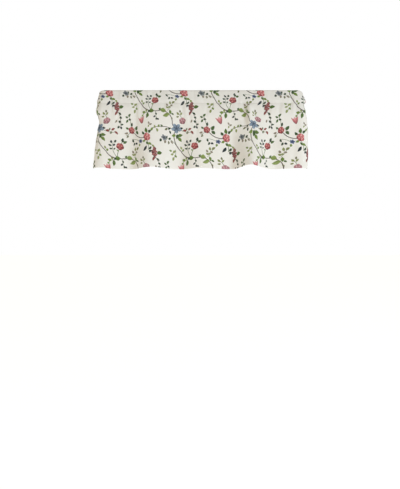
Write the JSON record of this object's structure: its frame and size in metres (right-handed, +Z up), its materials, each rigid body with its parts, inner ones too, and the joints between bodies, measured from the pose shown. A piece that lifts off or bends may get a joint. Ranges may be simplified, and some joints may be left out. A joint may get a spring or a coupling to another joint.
{
  "type": "window valance",
  "caption": "Short flat cloth valance with an open rod pocket along its top, sides that turn back toward the wall and soft uneven folds down to a straight hem.",
  "frame": {"origin": "middle of the top edge, over the middle of the rod tunnel", "axes": "+X along the rod, to the right as seen from the room; +Y from the room to the wall; +Z up"},
  "size_m": [1.0654, 0.1472, 0.381],
  "materials": {
    "printed_cotton": "matte plain-woven cotton in warm white, printed with a trailing vine of roses, blue flowers and leaves"
  },
  "bodies": {
    "root": {"panel": "printed_cotton", "pocket_strip": "printed_cotton"}
  },
  "joints": []
}
